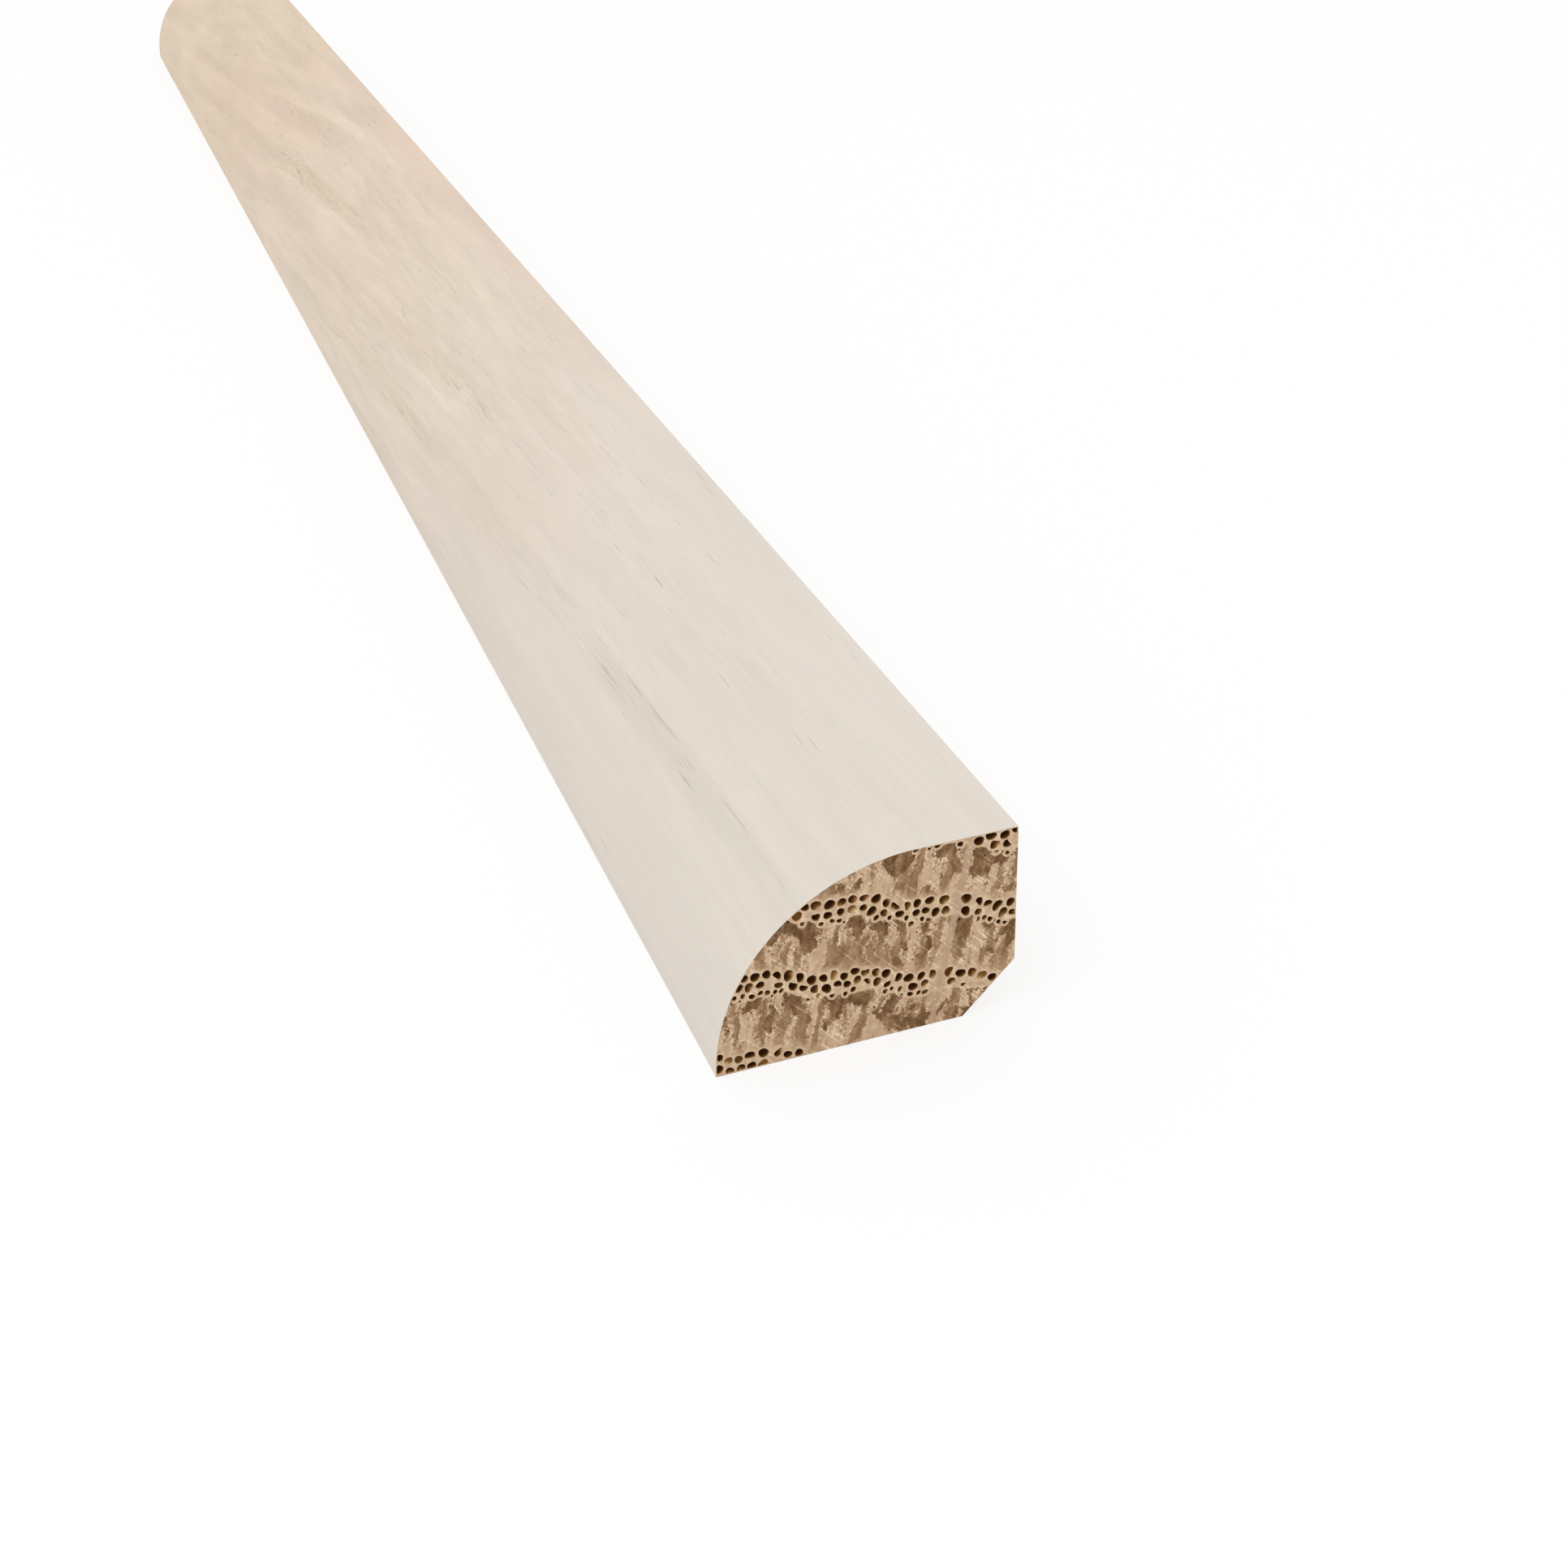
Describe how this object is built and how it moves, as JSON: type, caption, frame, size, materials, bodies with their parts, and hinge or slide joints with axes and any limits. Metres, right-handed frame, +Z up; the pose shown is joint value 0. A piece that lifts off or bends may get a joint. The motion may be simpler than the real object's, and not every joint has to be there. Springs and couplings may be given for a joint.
{
  "type": "shoe moulding",
  "caption": "Straight length of solid wood shoe moulding: quarter round face with a flat top land, planed-off inside corner and square-sawn ends.",
  "frame": {"origin": "on the floor, in the middle of the length and of the overall width", "axes": "+X along the length, +Y towards the wall that the moulding is fastened to, +Z up"},
  "size_m": [0.3, 0.019, 0.0127],
  "materials": {
    "pale_finished_oak": "satin"
  },
  "bodies": {
    "root": {"shoe_moulding": "pale_finished_oak"}
  },
  "joints": []
}
